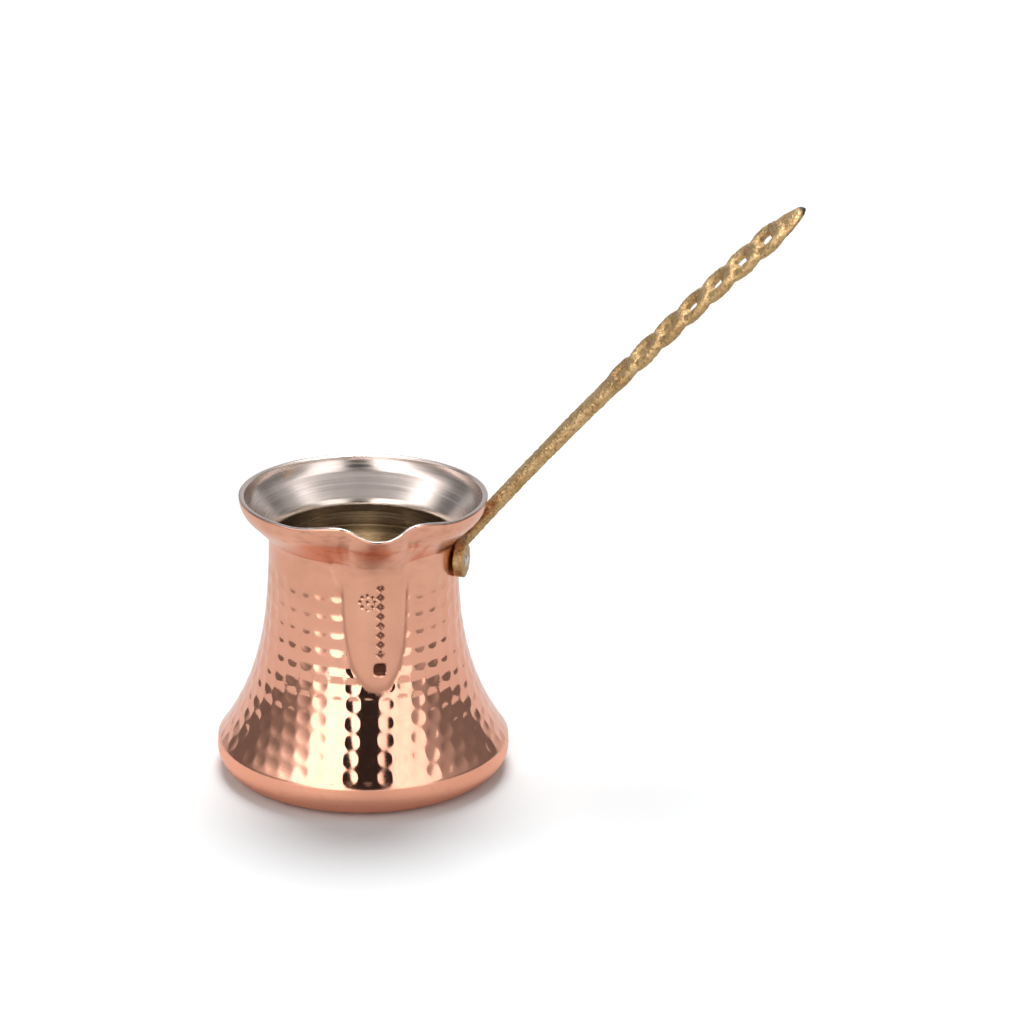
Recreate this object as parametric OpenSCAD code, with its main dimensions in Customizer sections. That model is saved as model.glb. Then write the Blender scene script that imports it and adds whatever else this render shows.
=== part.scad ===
// Turkish coffee pot (cezve): hammered copper pot, tinned inside, with a pulled
// pouring lip and a cast brass handle held by two rivets.
// The origin is the centre of the underside. The spout points to -Y and the
// handle rises over +X.

/* [Pot] */
// Diameter of the widest ring, just above the base
base_d = 90; // [70:1:110]
// Height of the rim above the base
pot_h = 88; // [74:1:108]
// Diameter of the neck where the handle sits
neck_d = 57.2; // [46:0.2:68]
// How far the rim stands out over the neck
rim_out = 9; // [8:0.1:12]
// Thickness of the copper sheet
copper_t = 1.3; // [0.8:0.05:2]
// Thickness of the tin inside
tin_t = 0.25; // [0.15:0.05:0.5]

/* [Base] */
// Width of the rounding between the flat base and the widest ring
edge_w = 8; // [5:0.5:12]
// Height of that rounding
edge_h = 7; // [4:0.5:9]
// Height of the crisp line where the smooth base band ends
band_z = 10; // [9.5:0.5:14]
// How far the band leans in between the widest ring and the crisp line
band_lean = 0.2; // [0:0.05:0.6]

/* [Flank and rim] */
// Share of the flank's sweep that runs straight, the rest being curved
flank_straight = 0.09; // [0:0.01:0.3]
// Power of the flank's curve
flank_power = 3; // [2:0.1:3.5]
// Radius of the throat, the corner between the neck and the flare
throat_r = 2; // [1.5:0.1:3]
// Lean of the flare, away from upright
flare_lean = 45; // [38:1:52]
// Radius of the turn from the flare up to the rim
cup_r = 9.2; // [7:0.1:11]

/* [Spout] */
// How far the pouring channel stands out of the neck
channel_out = 3.9; // [2.5:0.1:6]
// Radius of the channel's round front
channel_r = 11.4; // [9:0.1:14]
// How far the lip's point reaches out of the rim
lip_out = 3.1; // [1.5:0.1:5]
// Radius of the lip's point seen from above
lip_r = 4.5; // [3:0.1:7]
// Half the distance between the lip's two shoulders
shoulder_x = 11.8; // [10:0.1:16]
// How far each shoulder rises over the rim
shoulder_lift = 1.3; // [0.5:0.1:3]
// How far the lip's point dips below the rim
lip_dip = 1.4; // [0:0.1:3]
// Power of the dip between the shoulders: a low one makes a broad lip
lip_power = 1.3; // [1:0.1:2]
// Half the width over which the rim rises to the shoulders
lift_x = 26; // [20:0.5:32]

/* [Handle] */
// Length of the handle from the neck to its tip
handle_l = 144.9; // [110:0.1:170]
// Slope of the handle
handle_slope = 44.4; // [35:0.1:55]
// Radius of the handle's gentle downward bend
bend_r = 1140; // [700:10:4000]
// Thickness of the handle
handle_t = 3.1; // [2.4:0.1:4]
// Width of the plain shaft
shaft_w = 6.6; // [5:0.1:11]
// Power of the shaft's widening towards the openwork
shaft_power = 2.6; // [1.5:0.1:5]
// Number of pierced eyes
eye_n = 7; // [3:1:9]
// Distance from one eye to the next
eye_pitch = 9.9; // [8:0.1:12]
// Distance of the last eye from the tip
tip_l = 15; // [12:0.5:20]
// Width of the openwork over the last eye
eye_outer_w = 17; // [14:0.2:20]
// Width of the openwork between two eyes there
waist_w = 12.6; // [10:0.2:16]
// Width of the last eye's hole
eye_w = 9.4; // [6:0.2:11]
// Length of each eye's hole
eye_l = 7; // [4:0.1:8.5]
// How much narrower the openwork starts at the shaft
eye_taper = 0.74; // [0.6:0.01:1]
// Radius of the tip's round end
tip_r = 1.3; // [0.8:0.1:2]

/* [Foot and rivets] */
// Angle of each rivet from the handle, about the pot's axis
ear_angle = 23; // [17:0.5:28]
// Radius of each flat ear of the foot
ear_r = 5.2; // [4:0.1:6]
// Thickness of each ear
ear_t = 3.2; // [2.5:0.1:5]
// Gap between the neck and the middle of each ear's flat back
ear_gap = 0.45; // [0.2:0.05:0.8]
// Thickness of the bridge between the ears
bridge_t = 3; // [2:0.1:4]
// Height of the rivets below the throat
ear_drop = 4.9; // [4:0.1:8]
// Height at which the handle leaves the foot, above the rivets
root_rise = 1.9; // [1:0.1:3]
// Radius of a rivet's shank
shank_r = 1.3; // [1:0.05:1.6]
// Radius of a rivet's heads
head_r = 1.9; // [1.7:0.05:3]
// Height of the outer head
head_h = 0.7; // [0.5:0.1:2]
// Height of the flatter head inside the pot
inner_head_h = 0.8; // [0.5:0.1:1.5]
// Gap between the middle of the foot and the neck
seat_gap = 0.05; // [0.02:0.01:0.2]
// Gap around each rivet's shank
shank_gap = 0.05; // [0.02:0.01:0.2]
// Depth of the flat spot cut into each ear under a rivet's head
spot_depth = 0.15; // [0.1:0.05:0.4]
// Gap around the head in that flat spot
spot_gap = 0.3; // [0.1:0.05:0.6]
// Gap between the inner heads and the tin
head_gap = 0.03; // [0.02:0.01:0.1]

/* [Hidden] */
$fn = 96;

base_r = base_d / 2;
neck_r = neck_d / 2;
rim_r = neck_r + rim_out;
band_r = base_r - band_lean;
flare_run = rim_out - (throat_r + cup_r) * (1 - cos(flare_lean));
throat_z = pot_h - (throat_r + cup_r) * sin(flare_lean) - flare_run / tan(flare_lean);
lip_top = pot_h + shoulder_lift + 1;
over = 10;
reach = max(base_r, rim_r + lip_out) + 1;

// Outline of the pot outside, from the axis round the base and up to the rim.
function flank_r(t) =
    neck_r + (band_r - neck_r) * (flank_straight * (1 - t) + (1 - flank_straight) * pow(1 - t, flank_power));
function flank_z(t) = band_z + (throat_z - band_z) * t;
outline = concat(
    [[0, 0]],
    [for (a = [-90:15:0]) [base_r - edge_w + edge_w * cos(a), edge_h + edge_h * sin(a)]],
    [for (t = [0:0.05:0.9]) [flank_r(t), flank_z(t)]],
    [for (i = [0:3]) let (a = flare_lean * i / 3)
        [neck_r + throat_r * (1 - cos(a)), throat_z + throat_r * sin(a)]],
    [for (i = [4:-1:0]) let (a = flare_lean * i / 4)
        [rim_r - cup_r * (1 - cos(a)), pot_h - cup_r * sin(a)]],
    [[rim_r, lip_top]]
);
last = len(outline) - 1;

// The same outline moved d towards the inside, or outwards for a negative d.
function way(i) = let (e = outline[min(i + 1, last)] - outline[max(i - 1, 0)]) e / norm(e);
function inward(d) = [
    for (i = [0:last])
        outline[i] + d * (i == 0 ? [0, 1] : i == last ? [-1, 0] : [-way(i)[1], way(i)[0]])
];

// The channel leaves the flank where the flank is as wide as the channel's front.
flank_table = [for (t = [1:-0.05:0]) [flank_r(t), flank_z(t)]];
channel_front = neck_r + channel_out;
channel_z = lookup(channel_front, flank_table) - 1;
channel_top = throat_z - 2;

// Height of the rim's edge over a point x to the side of the spout.
function edge_z(x) =
    abs(x) < shoulder_x
    ? pot_h + shoulder_lift - (shoulder_lift + lip_dip) * pow(cos(90 * x / shoulder_x), lip_power)
    : abs(x) < lift_x
    ? pot_h + shoulder_lift * pow(cos(90 * (abs(x) - shoulder_x) / (lift_x - shoulder_x)), 2)
    : pot_h;

// The foot and the rivets share these places.
ear_z = throat_z - ear_drop;
root_z = ear_z + root_rise;
ear_in = neck_r + ear_gap;
foot_in = neck_r + seat_gap;
foot_out = foot_in + bridge_t;
head_seat = ear_in + ear_t - spot_depth;
lining_r = neck_r - copper_t - tin_t;
inner_seat = sqrt(lining_r * lining_r - head_r * head_r) - head_gap;

// The bend lifts the middle of the handle this far over the line from root to tip.
bend_rise = handle_l * handle_l / (8 * bend_r);

// Half the width of the handle, u along it from the neck.
first_eye = handle_l - tip_l - (eye_n - 1) * eye_pitch;
openwork_u = first_eye - eye_pitch / 2;
function taper(u) = eye_taper + (1 - eye_taper) * (u - first_eye) / ((eye_n - 1) * eye_pitch);
function half_w(u) =
    u > handle_l - tip_l
    ? tip_r + (eye_outer_w / 2 - tip_r) * sin(90 * (handle_l - u) / tip_l)
    : u > openwork_u
    ? taper(u) * (eye_outer_w + waist_w + (eye_outer_w - waist_w) * cos(360 * (u - first_eye) / eye_pitch)) / 4
    : shaft_w / 2 + (taper(openwork_u) * waist_w - shaft_w) / 2 * pow(max(0, u / openwork_u), shaft_power);
handle_us = [for (i = [0:70]) handle_l * i / 70];

module pot_solid(d, top) {
    rotate_extrude()
        polygon(concat([for (p = inward(d)) [max(p[0], 0), p[1]]], [[rim_r - d, top], [0, top]]));
}

module channel(d, top) {
    translate([0, channel_r - channel_front, channel_z])
        cylinder(r = channel_r - d, h = channel_top - channel_z);
    hull() {
        translate([0, channel_r - channel_front, channel_top - 1])
            cylinder(r = channel_r - d, h = 1, $fn = 32);
        translate([0, lip_r - rim_r - lip_out, pot_h - lip_dip])
            cylinder(r = lip_r - d, h = top - pot_h + lip_dip, $fn = 32);
        for (side = [-1, 1])
            translate([side * (shoulder_x - lip_r), 2 * lip_r - rim_r, pot_h - lip_dip])
                cylinder(r = lip_r - d, h = top - pot_h + lip_dip, $fn = 32);
    }
}

module hollow(d) {
    pot_solid(d, lip_top + over);
    channel(d, lip_top + over);
}

module above_the_edge() {
    xs = [for (i = [-26:26]) i * lift_x / 26];
    rotate([90, 0, 0])
        linear_extrude(height = reach)
            polygon(concat(
                [[-reach, pot_h]], [for (x = xs) [x, edge_z(x)]], [[reach, pot_h]],
                [[reach, lip_top + over + 1], [-reach, lip_top + over + 1]]
            ));
    translate([-reach, 0, pot_h])
        cube([2 * reach, reach, lip_top + over + 1 - pot_h]);
}

module at_rivet(side) {
    rotate([0, 0, side * ear_angle])
        translate([0, 0, ear_z])
            rotate([0, 90, 0])
                children();
}

module rivet_holes() {
    for (side = [-1, 1])
        at_rivet(side)
            translate([0, 0, neck_r / 2])
                cylinder(r = shank_r + shank_gap, h = neck_r);
}

module copper_body() {
    color("#d08a70")
        difference() {
            union() {
                pot_solid(0, lip_top);
                channel(0, lip_top);
            }
            hollow(copper_t);
            above_the_edge();
            rivet_holes();
        }
}

module tin_lining() {
    color("#c4bfbf")
        difference() {
            intersection() {
                hollow(copper_t);
                translate([0, 0, -1])
                    cylinder(r = reach, h = lip_top + 1);
            }
            hollow(copper_t + tin_t);
            above_the_edge();
            rivet_holes();
        }
}

module openwork_outline() {
    difference() {
        polygon(concat(
            [for (u = handle_us) [u, half_w(u)]],
            [for (i = [len(handle_us) - 1:-1:0]) [handle_us[i], -half_w(handle_us[i])]]
        ));
        for (i = [0:eye_n - 1])
            translate([first_eye + i * eye_pitch, 0])
                almond(eye_l, eye_w * taper(first_eye + i * eye_pitch));
    }
}

// Pointed oval of length l along x and width w: two arcs that meet in points.
module almond(l, w) {
    r = (l * l + w * w) / (4 * min(l, w));
    turn = w > l ? 90 : 0;
    rotate(turn)
        intersection_for (side = [-1, 1])
            translate([0, side * (r - min(l, w) / 2)])
                circle(r);
}

module bar() {
    translate([(foot_in + foot_out) / 2, 0, root_z])
        rotate([0, -handle_slope, 0])
            intersection() {
                translate([0, 0, -over])
                    linear_extrude(height = 3 * over)
                        openwork_outline();
                translate([handle_l / 2, 0, bend_rise - bend_r])
                    rotate([90, 0, 0])
                        difference() {
                            cylinder(r = bend_r + handle_t / 2, h = 4 * over, center = true, $fn = 720);
                            cylinder(r = bend_r - handle_t / 2, h = 5 * over, center = true, $fn = 720);
                        }
            }
}

// Two flat ears, and between them a bridge that follows the neck.
module foot() {
    for (side = [-1, 1])
        at_rivet(side)
            translate([0, 0, ear_in])
                cylinder(r = ear_r, h = ear_t);
    intersection() {
        translate([0, 0, ear_z - 2 * ear_r])
            difference() {
                cylinder(r = foot_out, h = 4 * ear_r);
                translate([0, 0, -1])
                    cylinder(r = foot_in, h = 4 * ear_r + 2);
            }
        translate([0, -foot_out * sin(ear_angle), ear_z - 1])
            cube([2 * neck_r, 2 * foot_out * sin(ear_angle), ear_r + 1]);
    }
}

module handle() {
    color("#b2925c")
        difference() {
            union() {
                bar();
                foot();
            }
            pot_solid(-seat_gap, lip_top);
            rivet_holes();
            for (side = [-1, 1])
                at_rivet(side)
                    translate([0, 0, head_seat])
                        cylinder(r = head_r + spot_gap, h = ear_t);
        }
}

// A cap of a sphere on radius head_r, height h.
module dome(h) {
    ball = (head_r * head_r + h * h) / (2 * h);
    rotate_extrude()
        polygon(concat([[0, 0]], [for (a = [0:0.125:1])
            let (b = asin(head_r / ball) * (1 - a)) [ball * sin(b), ball * cos(b) - ball + h]]));
}

module rivet(side) {
    color("#c9c7c4")
        at_rivet(side) {
            translate([0, 0, inner_seat - 0.1])
                cylinder(r = shank_r, h = head_seat - inner_seat + 0.2);
            translate([0, 0, head_seat])
                dome(head_h);
            translate([0, 0, inner_seat])
                mirror([0, 0, 1])
                    dome(inner_head_h);
        }
}

module front_rivet() {
    rivet(-1);
}

module rear_rivet() {
    rivet(1);
}

copper_body();
tin_lining();
handle();
front_rivet();
rear_rivet();
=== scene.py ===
import math
import random
import bpy
import numpy as np
from mathutils import Euler, Matrix, Vector, noise


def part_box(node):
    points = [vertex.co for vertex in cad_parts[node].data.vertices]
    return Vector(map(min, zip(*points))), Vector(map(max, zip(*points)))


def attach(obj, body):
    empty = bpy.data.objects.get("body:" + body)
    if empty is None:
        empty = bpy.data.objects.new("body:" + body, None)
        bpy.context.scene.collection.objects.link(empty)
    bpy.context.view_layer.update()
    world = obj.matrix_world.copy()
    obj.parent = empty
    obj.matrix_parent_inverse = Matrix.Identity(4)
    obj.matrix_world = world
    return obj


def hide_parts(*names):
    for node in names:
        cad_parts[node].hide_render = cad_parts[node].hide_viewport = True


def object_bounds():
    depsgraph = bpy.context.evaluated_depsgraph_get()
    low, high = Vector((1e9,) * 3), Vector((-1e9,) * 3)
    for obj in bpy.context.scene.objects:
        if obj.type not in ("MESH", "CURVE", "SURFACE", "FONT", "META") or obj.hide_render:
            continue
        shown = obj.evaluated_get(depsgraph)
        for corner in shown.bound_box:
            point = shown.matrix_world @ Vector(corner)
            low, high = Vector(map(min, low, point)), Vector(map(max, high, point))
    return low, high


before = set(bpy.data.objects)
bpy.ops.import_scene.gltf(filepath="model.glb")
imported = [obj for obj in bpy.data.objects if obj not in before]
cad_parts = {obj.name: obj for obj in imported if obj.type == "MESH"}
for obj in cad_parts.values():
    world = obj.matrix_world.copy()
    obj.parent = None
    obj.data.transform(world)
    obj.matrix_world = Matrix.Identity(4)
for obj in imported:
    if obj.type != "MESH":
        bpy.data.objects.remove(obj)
cadLow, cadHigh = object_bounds()
bodyLow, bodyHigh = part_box("copper_body")
mm = 0.001
print("frame loaded, pot", round(bodyHigh.z - bodyLow.z, 4), "m high")

# sizes shared by the pot, the tin and the handle's foot, in mm
pot = {
    "baseR": bodyHigh.x / mm,
    "height": 88.0,
    "neckR": 28.6,
    "rimR": 37.6,
    "floorRings": (10, 22, 32),
    "edgeW": 8.0,
    "edgeH": 7.0,
    "bandZ": 10.0,
    "bandLean": 0.2,
    "bandSteps": (0.45, 0.9),
    "flankStraight": 0.09,
    "flankPower": 3.0,
    "throatR": 2.0,
    "flareLean": math.radians(45),
    "cupR": 9.2,
    "wall": 1.3,
    "tin": 0.25,
    "columns": 520,
}
turnRun = (pot["throatR"] + pot["cupR"]) * (1 - math.cos(pot["flareLean"]))
turnRise = (pot["throatR"] + pot["cupR"]) * math.sin(pot["flareLean"])
flareRise = (pot["rimR"] - pot["neckR"] - turnRun) / math.tan(pot["flareLean"])
pot["throatZ"] = pot["height"] - turnRise - flareRise
pot["bandR"] = pot["baseR"] - pot["bandLean"]

spout = {
    "channelOut": 3.9,
    "channelR": 11.4,
    "footZ": 30.0,
    "lipFrom": pot["throatZ"] - 2,
    "lipOut": 3.1,
    "lipR": 9.5,
    "lipPower": 1.35,
    "crease": 0.5,
    "blend": 4.5,
    "blendFrom": 65.0,
    "blendOver": 12.0,
    "groove": 0.13,
    "grooveW": 0.35,
    "grooveFade": 6.0,
    "foldX": 8.6,
    "foldW": 0.9,
    "fold": 0.45,
    "leftFold": 0.5,
    "foldZ": (76.0, 87.5),
    "foldFade": 4.0,
    "shoulderX": 12.0,
    "shoulderLift": 1.8,
    "flatX": 1.6,
    "liftX": 26.0,
    "lipDip": 1.4,
    "edgeFrom": 77.0,
}

hammer = {
    "start": 3.5,
    "pitch": 5.5,
    "spacing": 5.15,
    "column": math.radians(-12.7),
    "radius": 2.5,
    "depth": 0.18,
    "topDepth": 0.4,
    "wander": 0.22,
    "sizes": (0.92, 1.04),
    "blows": (0.8, 1.15),
    "top": 69.0,
    "seed": 7,
}


def fresh():
    if bpy.context.object and bpy.context.object.mode != "OBJECT":
        bpy.ops.object.mode_set(mode="OBJECT")
    bpy.ops.object.select_all(action="DESELECT")


def only(thing):
    fresh()
    thing.select_set(True)
    bpy.context.view_layer.objects.active = thing


def edit(thing, kind="VERT"):
    only(thing)
    bpy.ops.object.mode_set(mode="EDIT")
    bpy.ops.mesh.select_mode(type=kind)


def done():
    bpy.ops.object.mode_set(mode="OBJECT")
    return bpy.context.object


def newest(name):
    thing = bpy.context.object
    thing.name = name
    thing.data.name = name
    return thing


def settle(thing):
    only(thing)
    bpy.ops.object.transform_apply(location=True, rotation=True, scale=True)


def readPoints(thing):
    co = np.empty(len(thing.data.vertices) * 3)
    thing.data.vertices.foreach_get("co", co)
    return co.reshape(-1, 3) / mm


def writePoints(thing, points):
    thing.data.vertices.foreach_set("co", (points * mm).ravel())
    thing.data.update()


def keepValue(thing, name, values):
    layer = thing.data.attributes.new(name, "FLOAT", "POINT")
    layer.data.foreach_set("value", np.asarray(values, float))


def ease(t):
    t = np.clip(t, 0, 1)
    return t * t * (3 - 2 * t)


# a line of edges drawn point by point in the XZ plane, then spun round the pot's axis
def spinOutline(name, outline, steps):
    fresh()
    bpy.ops.mesh.primitive_plane_add(size=2 * mm)
    thing = newest(name)
    edit(thing)
    bpy.ops.mesh.select_all(action="SELECT")
    bpy.ops.mesh.merge(type="CENTER")
    bpy.ops.transform.translate(value=(outline[0][0] * mm, 0, outline[0][1] * mm))
    for here, there in zip(outline, outline[1:]):
        step = ((there[0] - here[0]) * mm, 0, (there[1] - here[1]) * mm)
        bpy.ops.mesh.extrude_region_move(TRANSFORM_OT_translate={"value": step})
    bpy.ops.mesh.select_all(action="SELECT")
    bpy.ops.mesh.spin(steps=steps, angle=2 * math.pi, center=(0, 0, 0), axis=(0, 0, 1))
    bpy.ops.mesh.select_all(action="SELECT")
    bpy.ops.mesh.remove_doubles(threshold=0.001 * mm)
    bpy.ops.mesh.normals_make_consistent(inside=False)
    return done()


# the pot's outside as points of (radius, height), from the axis out and up to the rim
def flank(t):
    curve = pot["flankStraight"] * (1 - t) + (1 - pot["flankStraight"]) * (1 - t) ** pot["flankPower"]
    return (pot["neckR"] + (pot["bandR"] - pot["neckR"]) * curve,
            pot["bandZ"] + (pot["throatZ"] - pot["bandZ"]) * t)


def potOutline(edgeSteps, flankSteps, throatSteps, cupSteps, lipTop):
    points = [(0, 0)] + [(r, 0) for r in pot["floorRings"]]
    for i in range(edgeSteps + 1):
        a = math.radians(-90 + 90 * i / edgeSteps)
        points.append((pot["baseR"] - pot["edgeW"] * (1 - math.cos(a)), pot["edgeH"] * (1 + math.sin(a))))
    for share in pot["bandSteps"]:
        points.append((pot["baseR"] - share * pot["bandLean"],
                       pot["edgeH"] + share * (pot["bandZ"] - pot["edgeH"])))
    points += [flank(i / flankSteps) for i in range(flankSteps + 1)]
    for i in range(1, throatSteps + 1):
        a = pot["flareLean"] * i / throatSteps
        points.append((pot["neckR"] + pot["throatR"] * (1 - math.cos(a)),
                       pot["throatZ"] + pot["throatR"] * math.sin(a)))
    for i in range(cupSteps + 1):
        a = pot["flareLean"] * (1 - i / cupSteps)
        points.append((pot["rimR"] - pot["cupR"] * (1 - math.cos(a)),
                       pot["height"] - pot["cupR"] * math.sin(a) - (pot["height"] - lipTop) * (i / cupSteps)))
    return points


def inset(points, depth):
    moved = []
    for i, (r, z) in enumerate(points):
        before = points[max(i - 1, 0)]
        after = points[min(i + 1, len(points) - 1)]
        along = (after[0] - before[0], after[1] - before[1])
        size = math.hypot(*along)
        moved.append((max(0.0, r - depth * along[1] / size) if i else 0.0, z + depth * along[0] / size))
    return moved


# which row of the outline each spun point came from
def rowsOf(points, outline):
    r = np.hypot(points[:, 0], points[:, 1])
    table = np.array(outline)
    rows = np.empty(len(points), int)
    for start in range(0, len(points), 5000):
        cut = slice(start, start + 5000)
        gap = np.abs(r[cut, None] - table[:, 0]) + np.abs(points[cut, 2, None] - table[:, 1])
        rows[cut] = gap.argmin(1)
    return rows


# the larger of two radii, rounded where they are closer than the blend
def softMax(a, b, blend):
    h = np.clip(0.5 + 0.5 * (b - a) / blend, 0, 1)
    return a * (1 - h) + b * h + 0.5 * blend * h * (1 - h)


# the pouring channel stands out of the neck, and the lip is pulled forward and dips
def pullSpout(points, depth, outside):
    r = np.hypot(points[:, 0], points[:, 1])
    across = points[:, 0] / np.maximum(r, 1e-6)
    front = points[:, 1] < 0
    z = points[:, 2].copy()
    up = np.clip((z - spout["lipFrom"]) / (pot["height"] - spout["lipFrom"]), 0, 1) ** spout["lipPower"]
    nose = pot["neckR"] + spout["channelOut"]
    nose = nose + up * (pot["rimR"] + spout["lipOut"] - nose)
    bend = spout["channelR"] + up * (spout["lipR"] - spout["channelR"])
    middle = nose - bend
    room = (bend - depth) ** 2 - (middle * across) ** 2
    good = front & (room > 0) & (z > spout["footZ"])
    reach = np.where(good, middle * np.sqrt(1 - across ** 2) + np.sqrt(np.maximum(room, 0)), 0)
    blend = spout["crease"] + spout["blend"] * ease((z - spout["blendFrom"]) / spout["blendOver"])
    rNew = np.where(reach > r - blend, softMax(r, reach, blend), r)
    low = ease((spout["lipFrom"] - 1 - z) / spout["grooveFade"])
    seam = np.exp(-((reach - r) / spout["grooveW"]) ** 2) * low * outside
    rNew -= spout["groove"] * seam
    scale = rNew / np.maximum(r, 1e-6)
    x, y = points[:, 0] * scale, points[:, 1] * scale
    side = np.abs(x)
    foldLow, foldHigh = spout["foldZ"]
    fold = np.exp(-((side - spout["foldX"]) / spout["foldW"]) ** 2)
    fold = fold * ease((z - foldLow) / spout["foldFade"]) * ease((foldHigh - z) / spout["foldFade"])
    y = np.where(front & outside, y + spout["fold"] * fold * np.where(x > 0, 1, spout["leftFold"]), y)
    dip = ease((side - spout["flatX"]) / (spout["shoulderX"] - spout["flatX"]))
    between = (spout["shoulderLift"] + spout["lipDip"]) * dip - spout["lipDip"]
    fall = (side - spout["shoulderX"]) / (spout["liftX"] - spout["shoulderX"])
    beyond = spout["shoulderLift"] * np.cos(0.5 * np.pi * np.clip(fall, 0, 1)) ** 2
    edge = np.where(side < spout["shoulderX"], between, beyond)
    lift = ease((z - spout["edgeFrom"]) / (pot["height"] - spout["edgeFrom"]))
    z = np.where(front, z + lift * edge, z)
    return np.column_stack([x, y, z]), reach > r - 0.2, seam


# round hammer marks in rows, each row with its own count, each mark a little off its place
def hammerMarks(points, outline, rows, lastRow):
    rng = np.random.default_rng(hammer["seed"])
    table = np.array(outline[:lastRow + 1])
    lengths = np.concatenate([[0], np.cumsum(np.hypot(*np.diff(table, axis=0).T))])
    bandRow = int(np.argmin(np.abs(table[:, 1] - pot["bandZ"])))
    lengths -= lengths[bandRow]
    topLength = np.interp(hammer["top"], table[bandRow:, 1], lengths[bandRow:])
    count = int((topLength - hammer["start"]) / hammer["pitch"]) + 1
    rowV = hammer["start"] + hammer["pitch"] * np.arange(count)
    rowR = np.interp(rowV, lengths[bandRow:], table[bandRow:, 0])
    marks = np.round(2 * np.pi * rowR / hammer["spacing"]).astype(int)
    shape = (count, marks.max())
    offU = rng.uniform(-1, 1, shape) * hammer["wander"]
    offV = rng.uniform(-1, 1, shape) * hammer["wander"]
    size = rng.uniform(*hammer["sizes"], shape)
    deep = rng.uniform(*hammer["blows"], shape)
    outer = (rows <= lastRow) & (points[:, 2] > pot["bandZ"])
    v = np.interp(points[:, 2], table[bandRow:, 1], lengths[bandRow:])
    r = np.hypot(points[:, 0], points[:, 1])
    azimuth = np.arctan2(points[:, 0], -points[:, 1]) - hammer["column"]
    dent = np.zeros(len(points))
    for k in (-1, 0, 1):
        i = np.round((v - hammer["start"]) / hammer["pitch"]).astype(int) + k
        good = outer & (i >= 0) & (i < count)
        i = np.clip(i, 0, count - 1)
        step = 2 * np.pi / marks[i]
        for m in (-1, 0, 1):
            j = np.round(azimuth / step).astype(int) + m
            cell = (i, j % marks[i])
            radius = hammer["radius"] * size[cell]
            du = (azimuth - j * step) * r - offU[cell]
            dv = v - rowV[i] - offV[cell]
            depth = deep[cell] * (hammer["depth"] + (hammer["topDepth"] - hammer["depth"]) * ease(i / count))
            bowl = np.clip(1 - (du ** 2 + dv ** 2) / radius ** 2, 0, 1)
            dent = np.maximum(dent, np.where(good, depth * bowl, 0))
    row = np.where(outer, rows, 0)
    along = np.gradient(table, axis=0)
    along /= np.maximum(np.hypot(*along.T), 1e-9)[:, None]
    nr, nz = along[row, 1], -along[row, 0]
    scale = 1 - dent * nr / np.maximum(r, 1)
    return np.column_stack([points[:, 0] * scale, points[:, 1] * scale, points[:, 2] - dent * nz]), dent


stamp = {
    "marks": 8,
    "x": 0.9,
    "top": 69.4,
    "pitch": 3.0,
    "halfX": 1.7,
    "halfZ": 1.55,
    "rosette": (-2.9, 65.0),
    "rosetteR": 2.1,
    "dots": 8,
    "dotR": 0.72,
    "depth": 0.34,
    "punch": (0.8, 43.4),
    "punchR": 2.35,
    "punchDepth": 0.65,
    "fineX": (-5.0, 3.4),
    "fineZ": (40.5, 71.5),
}


# a stamped column of lozenges with a rosette beside it, and a plain punch mark under them; the mask it
# returns darkens the stamped marks and, as painted shade, the whole punch bowl
def stampOrnament(points):
    x, z = points[:, 0], points[:, 2]
    front = points[:, 1] < -25
    mark = np.zeros(len(points))
    for i in range(stamp["marks"]):
        level = np.abs(z - stamp["top"] + i * stamp["pitch"])
        away = np.abs(x - stamp["x"]) / stamp["halfX"] + level / stamp["halfZ"]
        mark = np.maximum(mark, np.clip(2.2 * (1 - away), 0, 1) - 1.6 * np.clip(0.45 - away, 0, 0.45))
    cx, cz = stamp["rosette"]
    dots = [(cx, cz)]
    for i in range(stamp["dots"]):
        a = 2 * math.pi * i / stamp["dots"]
        dots.append((cx + stamp["rosetteR"] * math.cos(a), cz + stamp["rosetteR"] * math.sin(a)))
    for dx, dz in dots:
        away = np.hypot(x - dx, z - dz) / stamp["dotR"]
        mark = np.maximum(mark, np.clip(1.4 * (1 - away), 0, 1))
    mark = np.where(front, mark, 0)
    px, pz = stamp["punch"]
    ball = np.abs((x - px) / stamp["punchR"]) ** 3 + np.abs((z - pz) / stamp["punchR"]) ** 3
    cut = stamp["depth"] * mark + np.where(front, stamp["punchDepth"] * np.clip(1 - ball, 0, 1), 0)
    # painted shade: the whole punch bowl is darkened
    mark = np.maximum(mark, front * ease((0.75 - ball) / 0.3))
    out = points.copy()
    out[:, 1] += cut
    return out, mark


# more faces under the stamp, so that its marks stay crisp
def refineStamp(thing):
    edit(thing, "FACE")
    bpy.ops.mesh.select_all(action="DESELECT")
    done()
    for face in thing.data.polygons:
        x, y, z = face.center / mm
        across = stamp["fineX"][0] < x < stamp["fineX"][1]
        face.select = y < -26 and across and stamp["fineZ"][0] < z < stamp["fineZ"][1]
    edit(thing, "FACE")
    bpy.ops.mesh.subdivide(number_cuts=1)
    done()


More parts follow.
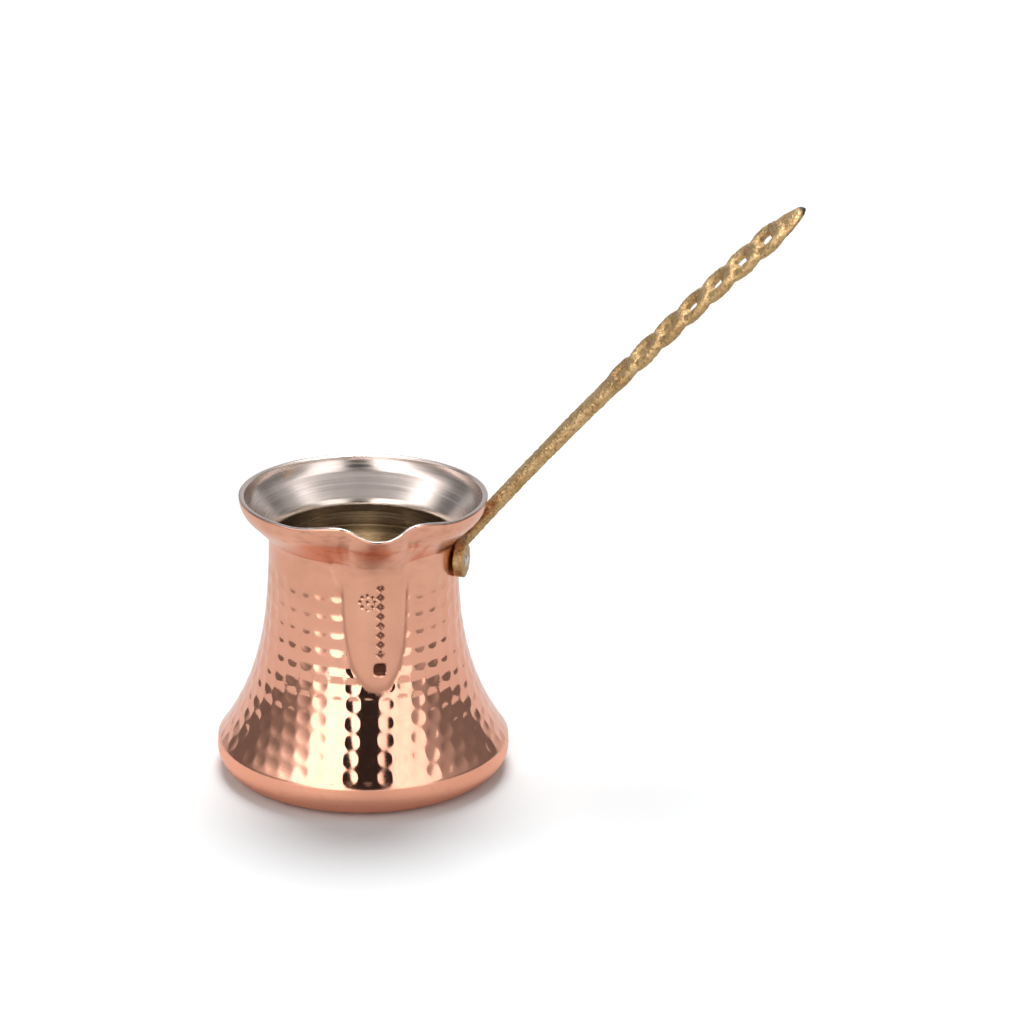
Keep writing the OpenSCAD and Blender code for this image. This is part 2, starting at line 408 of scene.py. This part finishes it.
def makeCopperBody():
    lipTop = pot["height"] - pot["tin"]
    outside = potOutline(10, 108, 4, 14, lipTop)
    lastRow = len(outside) - 1
    inside = inset(potOutline(3, 9, 2, 5, lipTop), pot["wall"])
    outline = outside + [(pot["rimR"] - pot["wall"], lipTop)] + inside[-2::-1]
    depths = np.array([0.0] * (lastRow + 1) + [pot["wall"]] * (len(outline) - lastRow - 1))
    thing = spinOutline("hammered_body", outline, pot["columns"])
    refineStamp(thing)
    points = readPoints(thing)
    rows = rowsOf(points, outline)
    outer = rows <= lastRow
    dented, dent = hammerMarks(points, outline, rows, lastRow)
    _, onChannel, _ = pullSpout(points, depths[rows], outer)
    points = np.where(onChannel[:, None], points, dented)
    pulled, onChannel, seam = pullSpout(points, depths[rows], outer)
    stamped, mark = stampOrnament(pulled)
    writePoints(thing, np.where(outer[:, None], stamped, pulled))
    polish = outer & ~onChannel & (points[:, 2] > pot["bandZ"] + 0.2)
    keepValue(thing, "polish", polish * ease((74 - points[:, 2]) / 34))
    # darkening along the channel's groove is partly dirt and partly painted shade; the stamped marks and the
    # punch bowl add their own
    keepValue(thing, "patinaAndShade", np.maximum(0.35 * seam, mark * outer))
    return thing


copperBody = makeCopperBody()
print("copper body", len(copperBody.data.polygons), "faces")


def makeTinLining():
    inner = inset(potOutline(8, 34, 6, 18, pot["height"]), pot["wall"] + pot["tin"])
    backing = inset(potOutline(4, 12, 3, 6, pot["height"] - pot["tin"]), pot["wall"])
    lip = [(pot["rimR"] - pot["wall"], pot["height"] - pot["tin"]),
           (pot["rimR"] - 0.02, pot["height"] - pot["tin"]),
           (pot["rimR"] - 0.12, pot["height"] - 0.16),
           (pot["rimR"] - 0.32, pot["height"] - 0.05),
           (pot["rimR"] - 0.6, pot["height"]),
           (pot["rimR"] - 1.05, pot["height"] - 0.02),
           (pot["rimR"] - 1.38, pot["height"] - 0.16)]
    innerTop = [(r, min(z, pot["height"] - 0.4)) for r, z in inner]
    outline = backing[:-1] + lip + innerTop[::-1]
    depths = np.array([pot["wall"]] * len(backing) + [0.0] * 4
                      + [pot["wall"]] * 2 + [pot["wall"] + pot["tin"]] * len(inner))
    thing = spinOutline("tinned_inside", outline, 300)
    points = readPoints(thing)
    rows = rowsOf(points, outline)
    pulled, _, _ = pullSpout(points, depths[rows], np.zeros(len(points), bool))
    writePoints(thing, pulled)
    first = len(backing)
    keepValue(thing, "lipEdge", (rows >= first) & (rows < first + len(lip) - 2))
    return thing


tinLining = makeTinLining()
print("tin lining", len(tinLining.data.polygons), "faces")

# the handle is drawn along its own line: u from the neck to the tip, v across, w up off its face
bar = {
    "length": 144.9,
    "slope": math.radians(44.4),
    "bendR": 1140.0,
    "thick": 3.1,
    "shaftW": 6.6,
    "shaftPower": 2.6,
    "ridge": 0.3,
    "chamfer": 0.95,
    "chamferFrom": 0.68,
    "eyes": 7,
    "shutEyes": 3,
    "pitch": 9.9,
    "tip": 15.0,
    "tipR": 1.3,
    "ringW": 17.0,
    "waistW": 12.6,
    "ringL": 15.4,
    "strand": 0.27,
    "tilt": math.radians(-3.5),
    "twist": (math.radians(-3), math.radians(6)),
    "taper": 0.74,
    "saddle": (3.7, 6.9, 1.25),
    "saddleV": -0.7,
    "web": (4.2, 4.4, 0.75),
    "webLess": (0.5, 0, 0.12),
    "leafOver": 1.5,
    "leafPower": 0.8,
    "voxel": 0.3,
    "lumps": 0.15,
    "darkTip": 2.9,
    "darkFade": 1.4,
}
foot = {
    "angle": math.radians(23),
    "earR": 5.2,
    "earT": 3.2,
    "earIn": pot["neckR"] + 0.45,
    "earZ": pot["throatZ"] - 4.9,
    "inR": pot["neckR"] + 0.05,
    "outR": pot["neckR"] + 3.05,
    "rootRise": 1.9,
    "bevel": 0.35,
    "bridgeX": 30.0,
    "bridgeDeep": 14.0,
    "bridgeLift": 2.1,
    "clear": 0.06,
}
firstEye = bar["length"] - bar["tip"] - (bar["eyes"] - 1) * bar["pitch"]


def taperAt(u):
    return bar["taper"] + (1 - bar["taper"]) * (u - firstEye) / ((bar["eyes"] - 1) * bar["pitch"])


def addShaft():
    fresh()
    end = firstEye - 2.0
    bpy.ops.mesh.primitive_cube_add(size=1, location=(end / 2 * mm, 0, 0),
                                    scale=(end * mm, bar["shaftW"] * mm, bar["thick"] * mm))
    thing = newest("shaft")
    settle(thing)
    edit(thing)
    bpy.ops.mesh.select_all(action="SELECT")
    bpy.ops.mesh.subdivide(number_cuts=15)
    done()
    points = readPoints(thing)
    share = np.abs(points[:, 1]) / (bar["shaftW"] / 2)
    edged = np.clip((share - bar["chamferFrom"]) / (1 - bar["chamferFrom"]), 0, 1)
    crown = bar["ridge"] * (1 - share) - bar["chamfer"] * edged
    points[:, 2] += np.where(points[:, 2] > 0, crown, 0)
    grown = taperAt(firstEye) * bar["waistW"] / bar["shaftW"] - 1
    points[:, 1] *= 1 + grown * np.clip(points[:, 0] / end, 0, 1) ** bar["shaftPower"]
    writePoints(thing, points)
    return thing


# one eye of the openwork: a torus drawn out into a wide ring, a little twisted
def addRing(index):
    u = firstEye + index * bar["pitch"]
    wide = bar["ringW"] * taperAt(u)
    fresh()
    bpy.ops.mesh.primitive_torus_add(major_segments=48, minor_segments=16,
                                     major_radius=1 - bar["strand"], minor_radius=bar["strand"])
    thing = newest("ring%d" % index)
    edit(thing)
    bpy.ops.mesh.select_all(action="SELECT")
    size = (bar["ringL"] / 2 * mm, wide / 2 * mm, bar["thick"] / bar["strand"] / 2 * mm)
    bpy.ops.transform.resize(value=size)
    done()
    points = readPoints(thing)
    turn = Euler((0, bar["tilt"], bar["twist"][index % 2]))
    spun = points @ np.array(turn.to_matrix()).T
    spun[:, 0] += u
    spun[:, 1] = np.clip(spun[:, 1], -wide / 2, wide / 2)
    writePoints(thing, spun)
    return thing


def addBall(name, u, v, halves):
    fresh()
    bpy.ops.mesh.primitive_uv_sphere_add(segments=28, ring_count=14, radius=1)
    thing = newest(name)
    edit(thing)
    bpy.ops.mesh.select_all(action="SELECT")
    bpy.ops.transform.resize(value=tuple(half * mm for half in halves))
    bpy.ops.transform.translate(value=(u * mm, v * mm, 0))
    done()
    return thing


# the strands cross between two eyes, and a thin web closes the eyes next to the shaft
def addSaddle(index):
    u = firstEye + (index + 0.5) * bar["pitch"]
    long, wide, high = bar["saddle"]
    return addBall("saddle%d" % index, u, bar["saddleV"] * taperAt(u), (long, wide * taperAt(u), high))


def addWeb(index):
    u = firstEye + index * bar["pitch"]
    long, wide, high = (size - index * less for size, less in zip(bar["web"], bar["webLess"]))
    return addBall("web%d" % index, u, 0, (long, wide * taperAt(u), high))


# the last eye runs on into one long leaf
def addLeaf():
    fresh()
    bpy.ops.mesh.primitive_uv_sphere_add(segments=40, ring_count=40, radius=1, rotation=(0, math.pi / 2, 0))
    thing = newest("leaf")
    settle(thing)
    points = readPoints(thing) * mm
    t = np.clip(points[:, 0], -1, 1)
    around = np.sqrt(np.maximum(1 - t ** 2, 1e-6))
    cap = np.sqrt(np.maximum(1 - t ** 6, 0))
    start, end = bar["length"] - bar["tip"] + bar["leafOver"], bar["length"] - 0.2
    u = (start + end) / 2 + t * (end - start) / 2
    swell = np.sin(0.5 * np.pi * (bar["length"] - u) / bar["tip"]) ** bar["leafPower"]
    wide = bar["tipR"] + (bar["ringW"] / 2 - bar["tipR"]) * swell
    shaped = np.column_stack([
        u,
        points[:, 1] / around * cap * (wide - 0.3),
        points[:, 2] / around * cap * (bar["thick"] / 2 - 0.25 * np.clip(t, 0, 1)),
    ])
    writePoints(thing, shaped)
    return thing


# bends the straight bar down towards its tip and stands it on the neck
def standUp(thing):
    points = readPoints(thing)
    half = bar["length"] / 2
    points[:, 2] += (half ** 2 - (points[:, 0] - half) ** 2) / (2 * bar["bendR"])
    c, s = math.cos(bar["slope"]), math.sin(bar["slope"])
    stood = np.column_stack([
        (foot["inR"] + foot["outR"]) / 2 + points[:, 0] * c - points[:, 2] * s,
        points[:, 1],
        foot["earZ"] + foot["rootRise"] + points[:, 0] * s + points[:, 2] * c,
    ])
    writePoints(thing, stood)


def cut(thing, cutter, way):
    only(thing)
    modifier = thing.modifiers.new("cut", "BOOLEAN")
    modifier.operation = way
    modifier.solver = "EXACT"
    modifier.object = cutter
    bpy.ops.object.modifier_apply(modifier="cut")
    bpy.data.objects.remove(cutter)


def joinAll(things, name):
    fresh()
    for thing in things:
        thing.select_set(True)
    bpy.context.view_layer.objects.active = things[0]
    bpy.ops.object.join()
    return newest(name)


# two flat round ears, and a bridge between them that follows the neck
def addFoot():
    ears = []
    middle = foot["earIn"] + foot["earT"] / 2
    for side in (-1, 1):
        fresh()
        bpy.ops.mesh.primitive_cylinder_add(
            vertices=56, radius=foot["earR"] * mm, depth=foot["earT"] * mm,
            location=(middle * math.cos(foot["angle"]) * mm, side * middle * math.sin(foot["angle"]) * mm,
                      foot["earZ"] * mm),
            rotation=(0, math.pi / 2, side * foot["angle"]))
        ear = newest("ear%d" % side)
        settle(ear)
        edit(ear)
        bpy.ops.mesh.select_all(action="SELECT")
        bpy.ops.mesh.bevel(offset=foot["bevel"] * mm, segments=2)
        done()
        ears.append(ear)
    fresh()
    wide = 2 * foot["outR"] * math.sin(foot["angle"])
    place = (foot["bridgeX"] * mm, 0, (foot["earZ"] + foot["bridgeLift"]) * mm)
    bpy.ops.mesh.primitive_cube_add(size=1, location=place,
                                    scale=(foot["bridgeDeep"] * mm, wide * mm, (foot["earR"] + 1) * mm))
    bridge = newest("bridge")
    settle(bridge)
    for radius, way in ((foot["outR"], "INTERSECT"), (foot["inR"], "DIFFERENCE")):
        fresh()
        bpy.ops.mesh.primitive_cylinder_add(vertices=256, radius=radius * mm, depth=40 * mm,
                                            location=(0, 0, foot["earZ"] * mm))
        cutter = newest("roller")
        settle(cutter)
        cut(bridge, cutter, way)
    return ears + [bridge]


def makeHandle():
    straight = [addShaft()] + [addRing(i) for i in range(bar["eyes"])]
    straight += [addSaddle(i) for i in range(bar["eyes"] - 1)]
    straight += [addWeb(i) for i in range(bar["shutEyes"])] + [addLeaf()]
    for part in straight:
        standUp(part)
    thing = joinAll(addFoot() + straight, "cast_handle")
    remesh = thing.modifiers.new("melt", "REMESH")
    remesh.mode = "VOXEL"
    remesh.voxel_size = bar["voxel"] * mm
    bpy.ops.object.modifier_apply(modifier="melt")
    smooth = thing.modifiers.new("soften", "SMOOTH")
    smooth.factor = 0.5
    smooth.iterations = 2
    bpy.ops.object.modifier_apply(modifier="soften")
    points = readPoints(thing)
    normals = np.empty(len(points) * 3)
    thing.data.vertices.foreach_get("normal", normals)
    normals = normals.reshape(-1, 3)
    rough = np.array([noise.noise(Vector(p) * 1.1) + 0.5 * noise.noise(Vector(p) * 0.45) for p in points])
    points += normals * (bar["lumps"] * rough)[:, None]
    # the foot and the shaft's root stay clear of the neck and the rim's flare
    r = np.hypot(points[:, 0], points[:, 1])
    z = points[:, 2]
    edgeSteps = 12
    below = 1 + len(pot["floorRings"]) + edgeSteps + 1
    table = np.array(potOutline(edgeSteps, 60, 12, 24, pot["height"])[below:])
    wall = np.interp(z, table[:, 1], table[:, 0]) + foot["clear"]
    push = np.where((r < wall) & (z < pot["height"]), wall / np.maximum(r, 1), 1)
    points[:, 0] *= push
    points[:, 1] *= push
    writePoints(thing, points)
    fromTip = np.hypot(points[:, 0] - points[:, 0].max(), z - z.max())
    keepValue(thing, "tipDark", ease((bar["darkTip"] - fromTip) / bar["darkFade"]))
    return thing


handle = makeHandle()
print("handle", len(handle.data.polygons), "faces")

rivet = {
    "shankR": 1.3,
    "headR": 1.85,
    "headH": 0.68,
    "innerH": 0.78,
    "outSeat": foot["earIn"] + foot["earT"] - 0.1,
    "inSeat": 26.95,
    "headSteps": 8,
    "blows": 6,
    "blowR": 0.9,
    "seed": 3,
}


def makeRivet(name, side):
    outline = [(0, rivet["inSeat"] - rivet["innerH"])]
    steps = rivet["headSteps"]
    for i in range(1, steps + 1):
        a = math.radians(90 * i / steps)
        outline.append((rivet["headR"] * math.sin(a), rivet["inSeat"] - rivet["innerH"] * math.cos(a) ** 1.2))
    outline += [(rivet["shankR"], rivet["inSeat"] + 0.05), (rivet["shankR"], rivet["outSeat"] - 0.05)]
    for i in range(steps, -1, -1):
        a = math.radians(90 * i / steps)
        outline.append((rivet["headR"] * math.sin(a), rivet["outSeat"] + rivet["headH"] * math.cos(a) ** 0.9))
    thing = spinOutline(name, outline, 40)
    rng = random.Random(rivet["seed"] + side)
    points = readPoints(thing)
    blows = [(rng.uniform(-1, 1), rng.uniform(-1, 1), rng.uniform(0.04, 0.1))
             for _ in range(rivet["blows"])]
    for x, y, depth in blows:
        away = np.hypot(points[:, 0] - x, points[:, 1] - y) / rivet["blowR"]
        head = points[:, 2] > rivet["outSeat"] + 0.2
        points[:, 2] -= np.where(head, depth * np.clip(1 - away ** 2, 0, 1), 0)
    turn = Matrix.Rotation(side * foot["angle"], 3, "Z") @ Matrix.Rotation(math.pi / 2, 3, "Y")
    points = points @ np.array(turn).T
    points[:, 2] += foot["earZ"]
    writePoints(thing, points)
    return thing


frontRivet = makeRivet("front_rivet_peened", -1)
rearRivet = makeRivet("rear_rivet_peened", 1)
print("rivets done")

for thing in (copperBody, tinLining, handle, frontRivet, rearRivet):
    only(thing)
    bpy.ops.object.shade_smooth()


class Nodes:
    def __init__(self, name, world=False):
        self.owner = bpy.data.worlds.new(name) if world else bpy.data.materials.new(name)
        self.owner.use_nodes = True
        self.tree = self.owner.node_tree
        if world:
            self.tree.nodes.clear()
        self.shader = self.tree.nodes.get("Principled BSDF")
        self.coords = self.add("ShaderNodeTexCoord").outputs["Generated" if world else "Object"]

    def add(self, kind, **settings):
        node = self.tree.nodes.new(kind)
        for key, value in settings.items():
            setattr(node, key, value)
        return node

    def link(self, a, b):
        self.tree.links.new(a, b)

    def noiseAt(self, scale, detail=4.0, stretch=(1, 1, 1), rough=0.55):
        mapping = self.add("ShaderNodeMapping")
        mapping.inputs["Scale"].default_value = stretch
        self.link(self.coords, mapping.inputs["Vector"])
        node = self.add("ShaderNodeTexNoise")
        node.inputs["Scale"].default_value = scale
        node.inputs["Detail"].default_value = detail
        node.inputs["Roughness"].default_value = rough
        self.link(mapping.outputs["Vector"], node.inputs["Vector"])
        return node.outputs["Fac"]

    def range(self, value, low, high, toLow=0.0, toHigh=1.0):
        node = self.add("ShaderNodeMapRange")
        self.link(value, node.inputs["Value"])
        for key, number in (("From Min", low), ("From Max", high), ("To Min", toLow), ("To Max", toHigh)):
            node.inputs[key].default_value = number
        return node.outputs["Result"]

    def math(self, operation, *values):
        node = self.add("ShaderNodeMath", operation=operation)
        for socket, value in zip(node.inputs, values):
            if isinstance(value, (int, float)):
                socket.default_value = value
            else:
                self.link(value, socket)
        return node.outputs["Value"]

    def mix(self, factor, a, b):
        node = self.add("ShaderNodeMix", data_type="RGBA")
        self.link(factor, node.inputs["Factor"])
        for socket, value in ((node.inputs[6], a), (node.inputs[7], b)):
            if isinstance(value, tuple):
                socket.default_value = (*value, 1)
            else:
                self.link(value, socket)
        return node.outputs[2]

    def value(self, name):
        return self.add("ShaderNodeAttribute", attribute_name=name).outputs["Fac"]

    def place(self):
        split = self.add("ShaderNodeSeparateXYZ")
        self.link(self.coords, split.inputs["Vector"])
        return split.outputs

    def bump(self, value, distance, strength=1.0, after=None):
        node = self.add("ShaderNodeBump")
        node.inputs["Strength"].default_value = strength
        node.inputs["Distance"].default_value = distance
        self.link(value, node.inputs["Height"])
        if after is not None:
            self.link(after, node.inputs["Normal"])
        return node.outputs["Normal"]

    def finish(self, color, roughness, normal=None, metallic=1.0):
        self.link(color, self.shader.inputs["Base Color"])
        self.link(roughness, self.shader.inputs["Roughness"])
        self.shader.inputs["Metallic"].default_value = metallic
        if normal is not None:
            self.link(normal, self.shader.inputs["Normal"])
        return self.owner


copperLook = {
    "bright": ((0.84, 0.40, 0.275), (0.89, 0.44, 0.31)),
    "satin": ((0.76, 0.375, 0.25), (0.84, 0.43, 0.295)),
    # band: lighter copper for the base band, a painted reflection of a bright floor
    "band": (1.0, 0.48, 0.32),
    "heat": (0.36, 0.135, 0.09),
    "heatShare": 0.45,
    "heatZ": (0.066, 0.08),
    "grime": (0.50, 0.21, 0.14),
    "grimeShare": 0.14,
    "patinaAndShade": (0.10, 0.035, 0.02),
    "satinRough": 0.25,
    "brightRough": 0.09,
    "bandRough": 0.16,
}


def copperMaterial():
    n = Nodes("hammered_copper")
    polish = n.value("polish")
    cloud = n.range(n.noiseAt(45, 3), 0.35, 0.65)
    bright = n.mix(cloud, *copperLook["bright"])
    satin = n.mix(n.range(n.noiseAt(70, 4), 0.35, 0.7), *copperLook["satin"])
    place = n.place()
    bandTop = pot["bandZ"] * mm
    band = n.range(place[2], bandTop + 0.0001, bandTop - 0.0001)
    # painted reflection: the base band is a lighter copy of the satin copper
    satin = n.mix(band, satin, copperLook["band"])
    base = n.mix(polish, satin, bright)
    streaks = n.math("MULTIPLY", n.range(n.noiseAt(210, 5, (1, 1, 2.6)), 0.5, 0.7),
                     n.range(place[2], *copperLook["heatZ"]))
    heat = n.math("MULTIPLY", streaks, n.range(place[1], -0.012, -0.03))
    tinted = n.mix(n.math("MULTIPLY", heat, copperLook["heatShare"]), base, copperLook["heat"])
    grime = n.range(n.noiseAt(420, 2), 0.62, 0.75, 0.0, copperLook["grimeShare"])
    color = n.mix(grime, tinted, copperLook["grime"])
    # dark patina and painted shade: the stamped marks, the punch bowl and the channel's groove
    color = n.mix(n.value("patinaAndShade"), color, copperLook["patinaAndShade"])
    fine = n.range(n.noiseAt(900, 3), 0.3, 0.7, -0.02, 0.02)
    rough = n.math("ADD", n.range(polish, 0, 1, copperLook["satinRough"], copperLook["brightRough"]), fine)
    rough = n.math("ADD", rough, n.math("MULTIPLY", band, copperLook["bandRough"]))
    scratch = n.noiseAt(300, 5, (1, 1, 6))
    normal = n.bump(scratch, 0.00004, 0.45)
    return n.finish(color, rough, normal)


tinLook = {
    "bright": ((0.66, 0.56, 0.515), (0.78, 0.68, 0.63)),
    # deep: darker, yellower tin below the cup, painted shade inside the pot
    "deep": ((0.54, 0.46, 0.36), (0.66, 0.575, 0.47)),
    "deepZ": (0.0735, 0.0775),
    "lip": (0.50, 0.42, 0.385),
    "rough": (0.16, 0.3),
}


def tinMaterial():
    n = Nodes("wiped_tin")
    z = n.place()[2]
    rings = n.noiseAt(260, 4, (0.03, 0.03, 5))
    cloud = n.range(n.noiseAt(60, 4), 0.35, 0.7)
    bright = n.mix(cloud, *tinLook["bright"])
    deep = n.mix(n.range(rings, 0.4, 0.62), *tinLook["deep"])
    # painted shade: the tin is darker and yellower below the cup
    color = n.mix(n.range(z, *tinLook["deepZ"]), deep, bright)
    color = n.mix(n.value("lipEdge"), color, tinLook["lip"])
    rough = n.range(rings, 0.35, 0.65, *tinLook["rough"])
    normal = n.bump(rings, 0.00006, 0.6)
    return n.finish(color, rough, normal)


brassLook = {
    "warm": ((0.42, 0.265, 0.115), (0.60, 0.42, 0.21)),
    "speck": (0.17, 0.085, 0.03),
    "speckShare": 0.75,
    "tip": (0.05, 0.042, 0.035),
    "rough": (0.3, 0.5),
}


def brassMaterial():
    n = Nodes("sand_cast_brass")
    grain = n.noiseAt(900, 6, rough=0.7)
    pits = n.range(n.noiseAt(1500, 3), 0.42, 0.6)
    blotch = n.range(n.noiseAt(120, 4), 0.35, 0.68)
    warm = n.mix(blotch, *brassLook["warm"])
    speck = n.range(grain, 0.5, 0.66, 0.0, brassLook["speckShare"])
    color = n.mix(speck, warm, brassLook["speck"])
    color = n.mix(n.value("tipDark"), color, brassLook["tip"])
    rough = n.range(grain, 0.3, 0.7, *brassLook["rough"])
    normal = n.bump(pits, 0.00012, 0.7, n.bump(grain, 0.0002, 0.9))
    return n.finish(color, rough, normal)


rivetLook = {
    "metal": ((0.46, 0.45, 0.44), (0.64, 0.63, 0.62)),
    "rough": (0.22, 0.38),
}


def rivetMaterial():
    n = Nodes("peened_rivet")
    cloud = n.range(n.noiseAt(400, 4), 0.3, 0.7)
    color = n.mix(cloud, *rivetLook["metal"])
    rough = n.range(n.noiseAt(900, 3), 0.3, 0.7, *rivetLook["rough"])
    return n.finish(color, rough, n.bump(n.noiseAt(1200, 3), 0.00005, 0.5))


def dress(thing, material, node):
    thing.data.materials.clear()
    thing.data.materials.append(material)
    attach(thing, "root")
    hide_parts(node)


peened = rivetMaterial()
dress(copperBody, copperMaterial(), "copper_body")
dress(tinLining, tinMaterial(), "tin_lining")
dress(handle, brassMaterial(), "handle")
dress(frontRivet, peened, "front_rivet")
dress(rearRivet, peened, "rear_rivet")
print("materials done")

studio = {
    "camera": (-0.11656, -0.91296, 0.40998),
    "yaw": math.radians(10.077),
    "pitch": math.radians(-19.603),
    "roll": math.radians(0.881),
    "lens": 113.42,
    "floorSize": 8.0,
    "sunFrom": (0.07, 0.44, 1.0),
    "sunAngle": math.radians(30),
    "sunStrength": 2.75,
    "tentOnFloor": 0.52,
    "floorPale": ((0.87, 0.885, 0.89), (0.89, 0.905, 0.91)),
    "floorGray": 0.89,
    "floorInGloss": 0.76,
    "overhead": 0.46,
    "overheadFrom": math.radians(50),
    "overheadFull": math.radians(57),
}


def addCamera():
    data = bpy.data.cameras.new("camera")
    data.lens = studio["lens"]
    data.sensor_width = 36
    data.clip_end = 20
    camera = bpy.data.objects.new("camera", data)
    bpy.context.scene.collection.objects.link(camera)
    aim = Matrix.Rotation(-studio["yaw"], 3, "Z") @ Matrix.Rotation(math.pi / 2 + studio["pitch"], 3, "X")
    camera.location = studio["camera"]
    camera.rotation_euler = (aim @ Matrix.Rotation(studio["roll"], 3, "Z")).to_euler()
    bpy.context.scene.camera = camera


def addFloor():
    fresh()
    bpy.ops.mesh.primitive_plane_add(size=studio["floorSize"], location=(0, 0, cadLow.z - 0.0001))
    floor = newest("floor")
    n = Nodes("pale_floor")
    color = n.mix(n.noiseAt(3, 2), *studio["floorPale"])
    rough = n.range(n.noiseAt(40, 2), 0.3, 0.7, 0.7, 0.8)
    gloss = n.add("ShaderNodeLightPath").outputs["Is Glossy Ray"]
    color = n.mix(gloss, color, (studio["floorGray"] * studio["floorInGloss"],) * 3)
    floor.data.materials.append(n.finish(color, rough, metallic=0.0))
    n.shader.inputs["Specular IOR Level"].default_value = 0.1


# the tent round the pot: two long soft boxes overhead that leave a dark gap between them.
# The share runs over a direction's x in front of the pot, and on round the back to 2
tentStops = [(-2.0, 0.62), (-1.33, 0.55), (-1.27, 0.21), (-1.05, 0.19), (-0.97, 0.3), (-0.88, 0.7),
             (-0.8, 1.2), (-0.74, 2.4), (-0.3, 2.9), (-0.26, 0.03), (0.17, 0.03), (0.21, 1.6),
             (0.36, 1.9), (0.69, 1.55), (0.73, 0.5), (0.86, 0.42), (0.94, 0.24), (1.09, 0.19),
             (1.14, 0.66), (2.0, 0.8)]


def addWorld():
    n = Nodes("tent", world=True)
    x, y, z = n.place()
    level = n.math("SQRT", n.math("SUBTRACT", 1.0, n.math("MULTIPLY", z, z)))
    front = n.math("ABSOLUTE", x)
    back = n.math("SUBTRACT", n.math("MULTIPLY", level, 2), front)
    behind = n.math("GREATER_THAN", y, 0)
    share = n.math("ADD", n.math("MULTIPLY", front, n.math("SUBTRACT", 1, behind)),
                   n.math("MULTIPLY", back, behind))
    share = n.math("MULTIPLY", share, n.math("SIGN", x))
    ramp = n.add("ShaderNodeValToRGB")
    brightest = max(light for _, light in tentStops)
    bands = ramp.color_ramp
    for i, (place, light) in enumerate(tentStops):
        band = bands.elements[i] if i < 2 else bands.elements.new(place / 4 + 0.5)
        band.position = place / 4 + 0.5
        band.color = (*[light / brightest] * 3, 1)
    n.link(n.range(share, -2, 2), ramp.inputs["Fac"])
    high = n.range(z, math.sin(studio["overheadFrom"]), math.sin(studio["overheadFull"]))
    dim = (studio["overhead"] / brightest,) * 3
    tent = n.add("ShaderNodeBackground")
    path = n.add("ShaderNodeLightPath").outputs
    n.link(n.range(path["Diffuse Depth"], 0, 1, brightest, brightest * studio["tentOnFloor"]),
           tent.inputs["Strength"])
    n.link(n.mix(high, ramp.outputs["Color"], dim), tent.inputs["Color"])
    white = n.add("ShaderNodeBackground")
    white.inputs["Color"].default_value = (1, 1, 1, 1)
    choose = n.add("ShaderNodeMixShader")
    n.link(path["Is Camera Ray"], choose.inputs["Fac"])
    n.link(tent.outputs[0], choose.inputs[1])
    n.link(white.outputs[0], choose.inputs[2])
    n.link(choose.outputs[0], n.add("ShaderNodeOutputWorld").inputs["Surface"])
    bpy.context.scene.world = n.owner


def addSun():
    light = bpy.data.lights.new("big_soft_lamp", "SUN")
    light.angle = studio["sunAngle"]
    light.energy = studio["sunStrength"]
    lamp = bpy.data.objects.new("big_soft_lamp", light)
    bpy.context.scene.collection.objects.link(lamp)
    lamp.location = Vector(studio["sunFrom"])
    lamp.rotation_euler = (-Vector(studio["sunFrom"])).to_track_quat("-Z", "Y").to_euler()


addCamera()
addFloor()
addWorld()
addSun()
bpy.context.scene.view_settings.view_transform = "Standard"
print("studio done")
